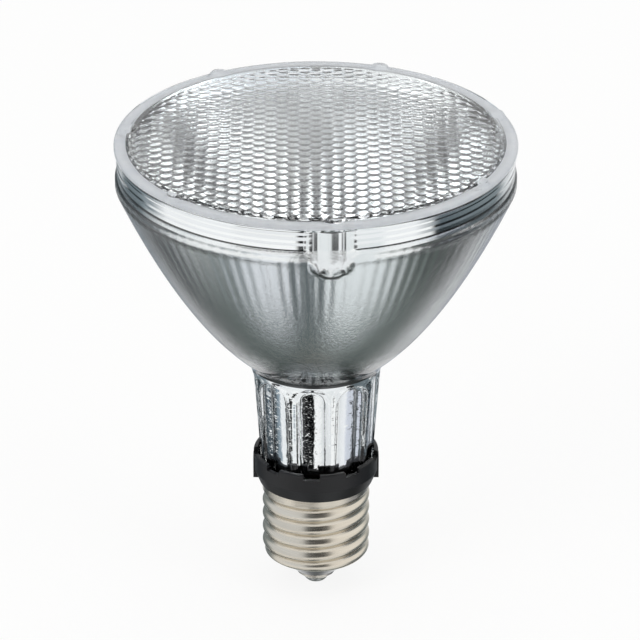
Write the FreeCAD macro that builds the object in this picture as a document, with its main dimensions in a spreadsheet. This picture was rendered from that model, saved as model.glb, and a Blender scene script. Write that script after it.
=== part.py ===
# PAR30 long-neck reflector lamp on an E27 screw cap. Millimetres, +Z along the lamp's axis towards
# the lens, origin at the tip of the centre contact, front of the lamp at -Y.
import FreeCAD, Part
import math
import os
import re
import Sketcher

V = FreeCAD.Vector
doc = FreeCAD.newDocument("par_lamp")

# Driving dimensions

dims = doc.addObject("Spreadsheet::Sheet", "Dims")

DIMENSIONS = [
    ("tip_radius", 1.9, "flat of the solder tip"),
    ("solder_flare", 1.1, "foot of the solder outside its tip"),
    ("solder_radius", "=tip_radius + solder_flare", "foot of the solder on the contact plate"),
    ("solder_height", 1.2, "solder below the contact plate"),
    ("contact_margin", 1.6, "contact plate outside the solder"),
    ("contact_radius", "=solder_radius + contact_margin", "contact plate"),
    ("contact_thickness", 2.2, "contact plate"),
    ("contact_dish", 1.3, "slope of the contact plate up to its edge"),
    ("contact_hole_radius", 0.6, "hole for the centre lead"),
    ("insulator_margin", 0.6, "glass insulator outside the contact plate"),
    ("insulator_cone", 4.6, "height of the insulator's cone below the shell"),
    ("insulator_plug", 1.9, "insulator inside the shell, above its shoulder"),
    ("shell_bottom", "=solder_height + contact_thickness + insulator_cone", "lower lip above the tip"),
    ("shell_crest_radius", 13.1, "thread crest of the E27 shell"),
    ("shell_lip_inset", 2.4, "lower lip of the shell inside the crest"),
    ("shell_lip_radius", "=shell_crest_radius - shell_lip_inset", "lower lip of the shell, outside"),
    ("shell_shoulder", 2.4, "height of the rounding above the lip"),
    ("shell_sheet", 0.35, "sheet of the shell below the root"),
    ("insulator_top", "=shell_bottom + shell_shoulder + insulator_plug", "its upper end above the tip"),
    ("thread_depth", 1.0, "crest to root"),
    ("thread_pitch", 3.629, "E27, seven threads to the inch"),
    ("thread_mouth", 2.9, "half width of the rolled groove, measured one depth outside the crest"),
    ("thread_length", 15.8, "threaded part of the shell above its shoulder"),
    ("thread_lead_in", 0.2, "groove begins this far below the lip"),
    ("thread_run_out", 0.1, "groove ends this far into the plain band"),
    ("thread_start", "=shell_bottom - thread_lead_in", "groove where it begins at the right, above the tip"),
    ("thread_band", "=shell_bottom + shell_shoulder + thread_length", "plain band of the shell above the tip"),
    ("thread_turns", "=(thread_band + thread_run_out - thread_start) / thread_pitch", "turns of the groove"),
    ("band_height", 4.8, "plain band of the shell"),
    ("shell_top", "=thread_band + band_height", "upper edge of the shell above the tip"),
    ("seat_gap", 0.05, "clearance between nested round pieces"),
    ("collar_overlap", 2.5, "collar over the shell"),
    ("collar_bottom", "=shell_top - collar_overlap", "lower edge of the collar above the tip"),
    ("collar_wall", 0.8, "wall of the collar at its lower edge"),
    ("collar_foot_radius", "=shell_crest_radius + collar_wall", "lower edge of the collar, outside"),
    ("collar_skirt", 3.2, "height of the tapered skirt"),
    ("collar_ring", 4.6, "height of the upper ring"),
    ("collar_edge_round", 0.5, "edges of the upper ring"),
    ("collar_web", 1.5, "web of the collar between shell and neck"),
    ("neck_step", 0.8, "neck's lower end outside the thread crest"),
    ("neck_bottom_radius", "=shell_crest_radius + neck_step", "neck at its lower end"),
    ("collar_cover", 1.3, "upper ring of the collar outside the neck's lower end"),
    ("collar_radius", "=neck_bottom_radius + collar_cover", "upper ring of the collar"),
    ("ear_width", 4.6, "ears at the collar's two sides"),
    ("ear_stand", 0.1, "outer face of the ears outside the ring"),
    ("ear_reach", "=collar_radius + ear_stand", "outer face of the ears from the axis"),
    ("ear_depth", 2.0, "ears from their root to their face"),
    ("ear_lift", 0.8, "ears above the collar's lower edge"),
    ("ear_height", 5.4, "ears, lower to upper end"),
    ("ear_round", 1.2, "upper corners of the ears"),
    ("notch_width", 4.0, "notches in the collar's upper edge"),
    ("notch_depth", 1.3, "notches in the collar's upper edge"),
    ("notch_count", 9, "notches in the collar's upper edge"),
    ("spigot_depth", 11.0, "glass spigot below the shell's upper edge"),
    ("spigot_bottom", "=shell_top - spigot_depth", "lower end of the glass spigot above the tip"),
    ("cement_gap", 0.55, "cement between the thread's root and the spigot"),
    ("spigot_radius", "=shell_crest_radius - thread_depth - shell_sheet - cement_gap", "glass spigot"),
    ("spigot_wall", 2.8, "glass of the spigot"),
    ("spigot_bore", "=spigot_radius - spigot_wall", "hole through the spigot, radius"),
    ("neck_bottom", "=shell_top + collar_web + 2 * seat_gap", "lower end of the fluted neck above the tip"),
    ("neck_length", 25.9, "tapered part of the neck"),
    ("neck_top", "=neck_bottom + neck_length", "upper end of the neck's taper above the tip"),
    ("neck_flare", 1.8, "neck wider at the top than at the bottom"),
    ("neck_top_radius", "=neck_bottom_radius + neck_flare", "neck at its upper end"),
    ("flute_count", 9, "flutes around the neck"),
    ("flute_width", 8.2, "each flute"),
    ("flute_overrun", 1.8, "crown of the flute arches above the neck's taper"),
    ("flute_top", "=neck_top + flute_overrun", "crown of the flute arches above the tip"),
    ("flute_depth_top", 1.35, "flutes at the neck's upper end"),
    ("flute_depth_bottom", 0.9, "flutes at the neck's lower end"),
    ("flute_floor_top", "=neck_top_radius - flute_depth_top", "floor of a flute from the axis, at its crown"),
    ("flute_floor_bottom", "=neck_bottom_radius - flute_depth_bottom", "the same at the neck's lower end"),
    ("flute_angle", -4.0, "first flute from the front, degrees"),
    ("neck_wall", 1.4, "thinnest glass under a flute"),
    ("neck_bore", "=flute_floor_bottom - neck_wall", "hole through the neck, radius"),
    ("neck_floor", 1.6, "glass between neck bore and spigot"),
    ("throat_step", 2.1, "bowl outside the neck where the rounding between them ends"),
    ("throat_radius", "=neck_top_radius + throat_step", "lower end of the bowl"),
    ("throat_round", 5.8, "hollow rounding between neck and bowl"),
    ("rim_radius", 47.3, "rim band above the bead"),
    ("rim_wall", 2.4, "glass of the rim"),
    ("rim_bore", "=rim_radius - rim_wall", "inside of the rim, radius"),
    ("rim_height", 7.4, "bead and rim band"),
    ("rim_chamfer", 0.4, "outer edge of the rim's top"),
    ("bowl_height", 50.9, "bowl between the neck and the bead"),
    ("bead_bottom", "=neck_top + bowl_height", "lower edge of the bead above the tip"),
    ("bead_height", 1.9, "bead under the rim band"),
    ("bead_round", 1.05, "rounding of the bead"),
    ("bead_overhang", 1.32, "upright stretch between bowl and bead"),
    ("rim_top", "=bead_bottom + rim_height", "flat top of the rim above the tip"),
    ("rim_line_rise", 4.3, "fine ridge round the rim band above the bead's lower edge"),
    ("rim_line", "=bead_bottom + rim_line_rise", "fine ridge round the rim band above the tip"),
    ("rim_line_height", 0.5, "fine ridge round the rim band"),
    ("rim_line_depth", 0.25, "fine ridge round the rim band"),
    ("bowl_step", 0.45, "bowl's upper end outside the rim band"),
    ("bowl_radius", "=rim_radius + bowl_step", "upper end of the bowl, under the bead"),
    ("bowl_top", "=bead_bottom - bead_overhang", "upper end of the bowl above the tip"),
    ("bowl_sink", 3.2, "apex of the outer paraboloid below the neck's upper end"),
    ("bowl_apex", "=neck_top - bowl_sink", "apex of the outer paraboloid above the tip"),
    ("bowl_focus", "=bowl_radius ^ 2 / (4 * (bowl_top - bowl_apex))", "focal length of the outer paraboloid"),
    ("bowl_glass", 3.6, "glass between the two apexes"),
    ("mirror_apex", "=bowl_apex + bowl_glass", "apex of the mirror above the tip"),
    ("mirror_drop", 1.09, "mirror's upper end below the bead's lower edge"),
    ("mirror_top", "=bead_bottom - mirror_drop", "upper end of the mirror above the tip"),
    ("mirror_focus", "=rim_bore ^ 2 / (4 * (mirror_top - mirror_apex))", "focal length of the mirror inside"),
    ("lug_count", 3, "lugs on the rim"),
    ("lug_width", 11.6, "each lug"),
    ("lug_drop", 3.5, "rounded lower end of the lugs below the bead"),
    ("lug_bottom", "=bead_bottom - lug_drop", "lower end of the lugs above the tip"),
    ("lug_stand", 0.95, "flat face of the lugs outside the rim band"),
    ("lug_reach", "=rim_radius + lug_stand", "flat face of the lugs from the axis"),
    ("lug_depth", 2.9, "lugs from their root in the wall to their face"),
    ("lug_draft", 12, "draft of the lugs' sides, degrees"),
    ("lug_angle", 4.5, "first lug from the front, degrees"),
    ("seal_height", 0.35, "seal between rim and lens"),
    ("seal_inset", 0.35, "seal behind the rim band"),
    ("flange_overhang", 0.6, "flange of the lens outside the rim band"),
    ("flange_radius", "=rim_radius + flange_overhang", "flange of the lens"),
    ("flange_edge", 0.8, "upright edge of the flange"),
    ("flange_rise", 1.0, "slope of the flange up to the dome"),
    ("flange_width", 3.4, "flange, edge to dome"),
    ("lens_crown", 2.2, "dome of the lens above its border"),
    ("lens_body_gap", 0.35, "lens body inside the rim"),
    ("lens_body_depth", 0.9, "lens body below the flange"),
    ("nub_count", 7, "round nubs on the flange"),
    ("nub_radius", 2.65, "each nub"),
    ("nub_height", 1.45, "nubs above the flange's upright edge"),
    ("nub_inset", 0.15, "nubs inside the flange's edge"),
    ("nub_draft", 10, "draft of the nubs' sides, degrees"),
    ("nub_angle", 5.7, "first nub from the front, degrees"),
    ("lenslet_pitch", 3.1, "hexagonal lenslets, flat to flat"),
    ("lenslet_height", 0.55, "apex of a lenslet below its corners"),
    ("lenslet_border", 0.5, "plain margin round the lenslets"),
    ("lenslet_crown", 1.2, "rise of the lenslet field at the axis"),
    ("pinch_seat", 2.3, "cement below the pinch"),
    ("pinch_bottom", "=neck_bottom + neck_floor + pinch_seat", "lower end of the pinch above the tip"),
    ("pinch_height", 15.0, "pinch below the capsule's shoulder"),
    ("pinch_width", 12.0, "pinch, left to right"),
    ("pinch_thickness", 4.0, "pinch, front to back"),
    ("cement_grip", 7.5, "pinch inside the cement"),
    ("cement_top", "=pinch_bottom + cement_grip", "ceramic cement in the neck, above the tip"),
    ("cap_cement_inset", 0.6, "cement in the cap inside the ends of spigot and shell"),
    ("cap_cement_bottom", "=spigot_bottom + cap_cement_inset", "cement in the cap, above the tip"),
    ("cap_cement_top", "=shell_top - cap_cement_inset", "cement in the cap, above the tip"),
    ("capsule_radius", 7.0, "quartz capsule"),
    ("capsule_wall", 1.0, "quartz capsule"),
    ("capsule_bottom", "=pinch_bottom + pinch_height", "shoulder above the pinch, above the tip"),
    ("capsule_shoulder", 3.0, "rounded shoulder above the pinch"),
    ("capsule_length", 41.5, "capsule from shoulder to crown"),
    ("capsule_top", "=capsule_bottom + capsule_length", "crown of the capsule above the tip"),
    ("exhaust_tip_radius", 1.2, "sealed tip on the crown"),
    ("exhaust_tip_height", 1.4, "sealed tip on the crown"),
    ("arc_rise", 18.1, "middle of the arc tube above the capsule's shoulder, near the mirror's focus"),
    ("arc_centre", "=capsule_bottom + arc_rise", "middle of the arc tube above the tip"),
    ("arc_radius", 3.4, "ceramic arc tube"),
    ("arc_length", 10.0, "wide part of the arc tube"),
    ("arc_wall", 0.8, "ceramic arc tube"),
    ("arc_edge_round", 1.0, "ends of the wide part"),
    ("capillary_radius", 1.3, "capillaries of the arc tube"),
    ("capillary_length", 7.0, "each capillary beyond the wide part"),
    ("feed_radius", 0.35, "feedthrough wires"),
    ("feed_reach", 2.2, "feedthrough beyond its capillary"),
    ("feed_inner", 2.0, "electrode inside the arc tube"),
    ("lead_radius", 0.4, "lead wires in the capsule"),
    ("lead_offset", 4.4, "leads left and right of the axis"),
    ("foil_width", 2.4, "molybdenum foils"),
    ("foil_thickness", 0.1, "molybdenum foils"),
    ("foil_inset", 2.5, "foils above the pinch's lower end"),
    ("foil_length", 9.0, "molybdenum foils"),
    ("foil_bottom", "=pinch_bottom + foil_inset", "foils above the tip"),
    ("foil_top", "=foil_bottom + foil_length", "foils above the tip"),
    ("outer_lead_radius", 0.35, "lead wires below the pinch"),
    ("wire_bend", 1.6, "bends of the lead wires"),
    ("shell_lead_drop", 2.5, "weld of the left lead below the spigot"),
    ("shell_lead_height", "=spigot_bottom - shell_lead_drop", "weld of the left lead, above the tip"),
    ("lead_straight", 0.2, "right lead straight below the cement"),
    ("lead_plumb", 2.7, "right lead on the axis above the insulator"),
    ("contact_lead_bend_top", "=neck_bottom + neck_floor - lead_straight", "right lead leaves its line"),
    ("contact_lead_bend_bottom", "=insulator_top + lead_plumb", "right lead reaches the axis"),
    ("getter_length", 5.0, "getter strip"),
    ("getter_width", 1.6, "getter strip"),
    ("getter_thickness", 0.3, "getter strip"),
    ("getter_rise", 7.9, "getter strip above the middle of the arc tube"),
    ("getter_bottom", "=arc_centre + getter_rise", "getter strip above the tip"),
]

for row, (name, size, note) in enumerate(DIMENSIONS, start=1):
    dims.set("A%d" % row, name)
    dims.setAlias("B%d" % row, name)
    dims.set("C%d" % row, note)
for row, (name, size, note) in enumerate(DIMENSIONS, start=1):
    dims.set("B%d" % row, str(size))
doc.recompute()


def bound(text):
    """Turn the plain names of a size formula into cells of the sheet."""
    return re.sub(r"\b([a-z][a-z_]*)\b(?!\s*\()", r"Dims.\1", text)


def size(text):
    return float(dims.evalExpression(bound(text)))


# Sketch and feature helpers

def new_body(name):
    body = doc.addObject("PartDesign::Body", name)
    body.Label = name
    return body


def of_origin(body, role):
    return next(item for item in body.Origin.OriginFeatures if item.Role == role)


def bind(item, path, formula):
    item.setExpression(path, bound(formula))


def new_sketch(body, name, role, place=None):
    sketch = body.newObject("Sketcher::SketchObject", name)
    sketch.AttachmentSupport = [(of_origin(body, role), "")]
    sketch.MapMode = "FlatFace"
    if place:
        bind(sketch, "AttachmentOffset", place)
    return sketch


def constrain(sketch, formula, *where):
    """Add a constraint whose value follows a formula of the sheet."""
    index = sketch.addConstraint(Sketcher.Constraint(*where, size(formula)))
    bind(sketch, "Constraints[%d]" % index, formula)


def fix(sketch, side, end, formula, value, kind, axis):
    """Hold one coordinate of a side's end, on the axis itself where the formula gives nought."""
    if abs(value) < 1e-9:
        sketch.addConstraint(Sketcher.Constraint("PointOnObject", side, end, axis))
    else:
        constrain(sketch, formula, kind, -1, 1, side, end)


def add_arc(sketch, start, end, formula, hollow):
    """Arc between two corners, turning left, or right where it is a hollow of an outline."""
    radius = size(formula)
    chord = end - start
    half = chord.Length / 2
    side = V(chord.y, -chord.x, 0) if hollow else V(-chord.y, chord.x, 0)
    side.normalize()
    centre = (start + end) / 2 + side * math.sqrt(max(radius**2 - half**2, 0))
    first, last = (end, start) if hollow else (start, end)
    angles = [math.atan2(p.y - centre.y, p.x - centre.x) for p in (first, last)]
    circle = Part.Circle(centre, V(0, 0, 1), radius)
    arc = sketch.addGeometry(Part.ArcOfCircle(circle, *angles))
    constrain(sketch, formula, "Radius", arc)
    return (arc, 2, 1) if hollow else (arc, 1, 2)


def add_parabola(sketch, start, end, across, up):
    """Arc of a parabola as a quadratic spline, which is exact, with its middle pole at (across, up)."""
    middle = V(size(across), size(up), 0)
    spline = Part.BSplineCurve()
    spline.buildFromPolesMultsKnots([start, middle, end], [3, 3], [0, 1], False, 2)
    arc = sketch.addGeometry(spline)
    sketch.exposeInternalGeometry(arc)
    pole = arc + 2
    constrain(sketch, across, "DistanceX", -1, 1, pole, 3)
    constrain(sketch, up, "DistanceY", -1, 1, pole, 3)
    return (arc, 1, 2)


def outline(body, name, corners, rounds=None, hollows=None, parabolas=None, place=None, closed=True):
    """Outline through corners given as (across, up) formulas, anticlockwise where it is closed.

    The side after corner i is a line, an arc that turns left (rounds) or right (hollows), or a parabola.
    """
    rounds, hollows, parabolas = rounds or {}, hollows or {}, parabolas or {}
    sketch = new_sketch(body, name, "XZ_Plane", place)
    points = [V(size(across), size(up), 0) for across, up in corners]
    sides = []
    for i, start in enumerate(points if closed else points[:-1]):
        end = points[(i + 1) % len(points)]
        if i in parabolas:
            sides.append(add_parabola(sketch, start, end, *parabolas[i]))
        elif i in rounds:
            sides.append(add_arc(sketch, start, end, rounds[i], hollow=False))
        elif i in hollows:
            sides.append(add_arc(sketch, start, end, hollows[i], hollow=True))
        else:
            sides.append((sketch.addGeometry(Part.LineSegment(start, end)), 1, 2))
    for i, (side, _, last) in enumerate(sides if closed else sides[:-1]):
        after, begin, _ = sides[(i + 1) % len(sides)]
        sketch.addConstraint(Sketcher.Constraint("Coincident", side, last, after, begin))
    held = [(side, first) for side, first, _ in sides]
    if not closed:
        held.append((sides[-1][0], sides[-1][2]))
    for (side, end), (across, up), point in zip(held, corners, points):
        fix(sketch, side, end, across, point.x, "DistanceX", -2)
        fix(sketch, side, end, up, point.y, "DistanceY", -1)
    return sketch


def revolve(body, name, sketch, kind="PartDesign::Revolution"):
    turned = body.newObject(kind, name)
    turned.Profile = sketch
    turned.ReferenceAxis = (sketch, ["V_Axis"])
    turned.Angle = 360
    return turned


def extrude(body, name, sketch, length, kind="PartDesign::Pad", reverse=False, draft=None):
    block = body.newObject(kind, name)
    block.Profile = sketch
    bind(block, "Length", length)
    block.Reversed = reverse
    if draft:
        bind(block, "TaperAngle", "-" + draft)
    return block


def repeat(body, name, feature, count):
    """Copies of a feature round the lamp's axis."""
    ring = body.newObject("PartDesign::PolarPattern", name)
    ring.Originals = [feature]
    ring.Axis = (of_origin(body, "Z_Axis"), [""])
    ring.Angle = 360
    bind(ring, "Occurrences", count)
    body.Tip = ring
    return ring


def facing(angle, distance, height="0"):
    """Place of an upright sketch that faces outwards at an angle from the front."""
    return ("placement(vector((%s) * sin(%s); %s; (%s) * cos(%s)); rotation(vector(0; 1; 0); %s))"
            % (distance, angle, height, distance, angle, angle))


# Screw cap

CONTACT_BOTTOM = "solder_height"
CONTACT_TOP = "(solder_height + contact_thickness)"


def make_contact_solder():
    body = new_body("contact_solder")
    dome = outline(body, "dome", [
        ("0", "0"),
        ("tip_radius", "0"),
        ("solder_radius", CONTACT_BOTTOM),
        ("0", CONTACT_BOTTOM),
    ], rounds={1: "(solder_radius - tip_radius) * 1.6"})
    revolve(body, "solder", dome)
    return body


def make_centre_contact():
    body = new_body("centre_contact")
    plate = outline(body, "section", [
        ("contact_hole_radius", CONTACT_BOTTOM),
        ("solder_radius", CONTACT_BOTTOM),
        ("contact_radius", CONTACT_BOTTOM + " + contact_dish"),
        ("contact_radius", CONTACT_TOP),
        ("contact_hole_radius", CONTACT_TOP),
    ])
    revolve(body, "plate", plate)
    return body


def make_base_insulator():
    body = new_body("base_insulator")
    lip_inside = "shell_lip_radius - shell_sheet - seat_gap"
    bore = "shell_crest_radius - thread_depth - shell_sheet - seat_gap"
    section = outline(body, "section", [
        ("contact_hole_radius", CONTACT_TOP),
        ("contact_radius + insulator_margin", CONTACT_TOP),
        (lip_inside, "shell_bottom"),
        (bore, "shell_bottom + shell_shoulder"),
        (bore, "insulator_top"),
        ("contact_hole_radius", "insulator_top"),
    ])
    revolve(body, "cone", section)
    return body


def make_screw_shell():
    body = new_body("screw_shell")
    root_inside = "shell_crest_radius - thread_depth - shell_sheet"
    corner = "sqrt(((shell_crest_radius - shell_lip_radius)^2 + shell_shoulder^2) / 2)"
    section = outline(body, "section", [
        ("shell_lip_radius - shell_sheet", "shell_bottom"),
        ("shell_lip_radius", "shell_bottom"),
        ("shell_crest_radius", "shell_bottom + shell_shoulder"),
        ("shell_crest_radius", "shell_top"),
        ("shell_crest_radius - shell_sheet", "shell_top"),
        ("shell_crest_radius - shell_sheet", "thread_band + thread_depth"),
        (root_inside, "thread_band"),
        (root_inside, "shell_bottom + shell_shoulder"),
    ], rounds={1: corner})
    blank = revolve(body, "blank", section)
    groove = outline(body, "groove_section", [
        ("shell_crest_radius - thread_depth", "thread_start"),
        ("shell_crest_radius + thread_depth", "thread_start - thread_mouth"),
        ("shell_crest_radius + thread_depth", "thread_start + thread_mouth"),
    ])
    thread = body.newObject("PartDesign::SubtractiveHelix", "thread")
    thread.Profile = groove
    thread.ReferenceAxis = (groove, ["V_Axis"])
    thread.Mode = 1
    bind(thread, "Pitch", "thread_pitch")
    bind(thread, "Turns", "thread_turns")
    return body


# Glass reflector

def neck_radius(height):
    """Outer radius of the tapered neck at a height above the tip."""
    return ("(neck_bottom_radius + (neck_top_radius - neck_bottom_radius) * (%s - neck_bottom)"
            " / (neck_top - neck_bottom))" % height)


def on_paraboloid(radius, focus, apex):
    return "(%s + (%s)^2 / (4 * %s))" % (apex, radius, focus)


def parabola_corner(inner, outer, focus, apex):
    """Where the tangents at two radii of a paraboloid's section meet."""
    return ("(%s + %s) / 2" % (inner, outer), "%s + %s * %s / (4 * %s)" % (apex, inner, outer, focus))


def make_reflector():
    body = new_body("reflector")
    line_half = "rim_line_height / 2"
    spigot_step = "neck_bottom + neck_floor"
    wall = outline(body, "wall_section", [
        ("spigot_bore", "spigot_bottom"),
        ("spigot_radius", "spigot_bottom"),
        ("spigot_radius", "neck_bottom"),
        ("neck_bottom_radius", "neck_bottom"),
        ("neck_top_radius", "neck_top"),
        ("throat_radius", on_paraboloid("throat_radius", "bowl_focus", "bowl_apex")),
        ("bowl_radius", on_paraboloid("bowl_radius", "bowl_focus", "bowl_apex")),
        ("bowl_radius", "bead_bottom"),
        ("rim_radius", "bead_bottom + bead_height"),
        ("rim_radius", "rim_line - " + line_half),
        ("rim_radius + rim_line_depth", "rim_line"),
        ("rim_radius", "rim_line + " + line_half),
        ("rim_radius", "rim_top - rim_chamfer"),
        ("rim_radius - rim_chamfer", "rim_top"),
        ("rim_bore", "rim_top"),
        ("rim_bore", on_paraboloid("rim_bore", "mirror_focus", "mirror_apex")),
        ("neck_bore", on_paraboloid("neck_bore", "mirror_focus", "mirror_apex")),
        ("neck_bore", spigot_step),
        ("spigot_bore", spigot_step),
    ], rounds={7: "bead_round"}, hollows={4: "throat_round"}, parabolas={
        5: parabola_corner("throat_radius", "bowl_radius", "bowl_focus", "bowl_apex"),
        15: parabola_corner("rim_bore", "neck_bore", "mirror_focus", "mirror_apex"),
    })
    revolve(body, "wall", wall)

    half_lug = "lug_width / 2"
    lug_shape = outline(body, "lug_shape", [
        ("-lug_width / 2", "rim_top - rim_chamfer"),
        ("-lug_width / 2", "lug_bottom + " + half_lug),
        ("0", "lug_bottom"),
        (half_lug, "lug_bottom + " + half_lug),
        (half_lug, "rim_top - rim_chamfer"),
    ], rounds={1: half_lug, 2: half_lug}, place=facing("lug_angle", "(lug_reach - lug_depth)"))
    lug = extrude(body, "lug", lug_shape, "lug_depth", draft="lug_draft")
    lugs = repeat(body, "lugs", lug, "lug_count")

    lean = "atan((flute_floor_top - flute_floor_bottom) / (flute_top - neck_bottom))"
    crown = "(flute_top - neck_bottom) / cos(%s)" % lean
    half_flute = "flute_width / 2"
    place = (
        "placement(vector(flute_floor_bottom * sin(flute_angle); neck_bottom;"
        " flute_floor_bottom * cos(flute_angle));"
        " rotation(vector(0; 1; 0); flute_angle) * rotation(vector(1; 0; 0); %s))" % lean
    )
    flute_shape = outline(body, "flute_shape", [
        ("-flute_width / 2", "-neck_floor"),
        (half_flute, "-neck_floor"),
        (half_flute, crown + " - " + half_flute),
        ("0", crown),
        ("-flute_width / 2", crown + " - " + half_flute),
    ], rounds={2: half_flute, 3: half_flute}, place=place)
    flute = extrude(body, "flute", flute_shape, "flute_width", kind="PartDesign::Pocket", reverse=True)
    repeat(body, "flutes", flute, "flute_count")
    return body


# Black collar between glass and cap

def make_insulating_collar():
    body = new_body("insulating_collar")
    ring_bottom = "(collar_bottom + collar_skirt)"
    ring_top = "(collar_bottom + collar_skirt + collar_ring)"
    outside = outline(body, "outside_section", [
        ("0", "collar_bottom"),
        ("collar_foot_radius", "collar_bottom"),
        ("collar_radius", ring_bottom),
        ("collar_radius", ring_top + " - collar_edge_round"),
        ("collar_radius - collar_edge_round", ring_top),
        ("0", ring_top),
    ], rounds={3: "collar_edge_round"})
    revolve(body, "outside", outside)

    ear_top = "(collar_bottom + ear_lift + ear_height)"
    for side, name in ((90, "right"), (-90, "left")):
        ear_shape = outline(body, name + "_ear_shape", [
            ("-ear_width / 2", "collar_bottom + ear_lift"),
            ("ear_width / 2", "collar_bottom + ear_lift"),
            ("ear_width / 2", ear_top + " - ear_round"),
            ("ear_width / 2 - ear_round", ear_top),
            ("-(ear_width / 2 - ear_round)", ear_top),
            ("-ear_width / 2", ear_top + " - ear_round"),
        ], rounds={2: "ear_round", 4: "ear_round"}, place=facing(str(side), "(ear_reach - ear_depth)"))
        extrude(body, name + "_ear", ear_shape, "ear_depth")

    web_bottom = "shell_top + seat_gap"
    web_top = web_bottom + " + collar_web"
    over_top = "(%s + collar_edge_round)" % ring_top
    inside = outline(body, "inside_section", [
        ("0", "collar_bottom - collar_edge_round"),
        ("shell_crest_radius + seat_gap", "collar_bottom - collar_edge_round"),
        ("shell_crest_radius + seat_gap", web_bottom),
        ("spigot_radius + seat_gap", web_bottom),
        ("spigot_radius + seat_gap", web_top),
        (neck_radius(web_top) + " + seat_gap", web_top),
        (neck_radius(over_top) + " + seat_gap", over_top),
        ("0", over_top),
    ])
    revolve(body, "inside", inside, kind="PartDesign::Groove")

    notch_shape = outline(body, "notch_shape", [
        ("-notch_width / 2", ring_top + " - notch_depth"),
        ("notch_width / 2", ring_top + " - notch_depth"),
        ("notch_width / 2", over_top),
        ("-notch_width / 2", over_top),
    ], place=facing("flute_angle", "neck_bore"))
    notch = extrude(body, "notch", notch_shape, "ear_reach", kind="PartDesign::Pocket", reverse=True)
    repeat(body, "notches", notch, "notch_count")
    return body


# Lens and its seal

FLANGE_BOTTOM = "(rim_top + seal_height)"
FLANGE_TOP = "(rim_top + seal_height + flange_edge)"
FIELD = "(rim_top + seal_height - lens_body_depth)"
LENS_BODY = "(rim_bore - lens_body_gap)"


def make_lens_seal():
    body = new_body("lens_seal")
    section = outline(body, "section", [
        ("rim_bore", "rim_top"),
        ("rim_radius - seal_inset", "rim_top"),
        ("rim_radius - seal_inset", FLANGE_BOTTOM),
        ("rim_bore", FLANGE_BOTTOM),
    ])
    revolve(body, "ring", section)
    return body


def make_lens_blank():
    """The lens before its lenslets are pressed: dome, flange and nubs over a flat field."""
    body = new_body("lens_blank")
    border = "flange_radius - flange_width"
    border_top = FLANGE_TOP + " + flange_rise"
    section = outline(body, "section", [
        ("0", FIELD),
        (LENS_BODY, FIELD),
        (LENS_BODY, FLANGE_BOTTOM),
        ("flange_radius", FLANGE_BOTTOM),
        ("flange_radius", FLANGE_TOP),
        (border, border_top),
        ("0", border_top + " + lens_crown"),
    ], rounds={5: "((%s)^2 + lens_crown^2) / (2 * lens_crown)" % border})
    revolve(body, "dome", section)
    nub_centre = "(flange_radius - nub_inset - nub_radius)"
    place = ("placement(vector(%s * sin(nub_angle); -%s * cos(nub_angle); %s); rotation(vector(0; 0; 1); 0))"
             % (nub_centre, nub_centre, FLANGE_BOTTOM))
    ring = new_sketch(body, "nub_shape", "XY_Plane", place)
    circle = ring.addGeometry(Part.Circle(V(0, 0, 0), V(0, 0, 1), size("nub_radius")))
    ring.addConstraint(Sketcher.Constraint("Coincident", circle, 3, -1, 1))
    constrain(ring, "nub_radius", "Radius", circle)
    nub = extrude(body, "nub", ring, "flange_edge + nub_height", draft="nub_draft")
    repeat(body, "nubs", nub, "nub_count")
    return body


def lenslet_faces():
    """Hexagonal lenslets as low pyramids over a gently crowned field, and the field's own margin."""
    pitch = size("lenslet_pitch")
    corner_reach = pitch / math.sqrt(3)
    column_step = pitch * math.sqrt(3) / 2
    body_radius = size(LENS_BODY)
    limit = body_radius - size("lenslet_border")
    field = size(FIELD)
    crown = size("lenslet_crown")

    cells = []
    reach = int(limit / column_step) + 2
    for column in range(-reach, reach + 1):
        for row in range(-reach, reach + 1):
            centre = V(column * column_step, (row + column % 2 / 2) * pitch, 0)
            corners = []
            for turn in range(6):
                angle = math.radians(60 * turn)
                corners.append(centre + V(math.cos(angle), math.sin(angle), 0) * corner_reach)
            if all(math.hypot(corner.x, corner.y) <= limit for corner in corners):
                cells.append((centre, corners))

    def key(point):
        return (round(point.x, 3), round(point.y, 3))

    uses = {}
    for _, corners in cells:
        for start, end in zip(corners, corners[1:] + corners[:1]):
            uses.setdefault(frozenset((key(start), key(end))), []).append((start, end))
    border = {key(pair[0][0]): pair[0][1] for pair in uses.values() if len(pair) == 1}

    def height(point):
        rise = 0 if key(point) in border else crown * (1 - (point.x**2 + point.y**2) / limit**2)
        return field + rise

    faces = []
    for centre, corners in cells:
        raised = [V(corner.x, corner.y, height(corner)) for corner in corners]
        apex = V(centre.x, centre.y, height(centre) - size("lenslet_height"))
        for start, end in zip(raised, raised[1:] + raised[:1]):
            faces.append(Part.Face(Part.makePolygon([apex, start, end, apex])))

    first = next(iter(border))
    loop = [border[first]]
    while key(loop[-1]) != first:
        loop.append(border[key(loop[-1])])
    edge = [V(point.x, point.y, field) for point in loop]
    hole = Part.makePolygon(edge + edge[:1])
    return faces, hole


def make_front_lens():
    blank = make_lens_blank()
    doc.recompute()
    lenslets, hole = lenslet_faces()
    field = size(FIELD)
    smooth = []
    for face in blank.Shape.Faces:
        if abs(face.BoundBox.ZMax - field) < 1e-6:
            smooth.append(Part.Face([face.OuterWire, hole]))
        else:
            smooth.append(face)
    skin = Part.makeShell(smooth + lenslets)
    skin.sewShape()
    lens = doc.addObject("Part::Feature", "front_lens")
    lens.Shape = Part.makeSolid(skin)
    return lens


# Cements

CAPSULE_CEMENT_BOTTOM = "(neck_bottom + neck_floor)"


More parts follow.
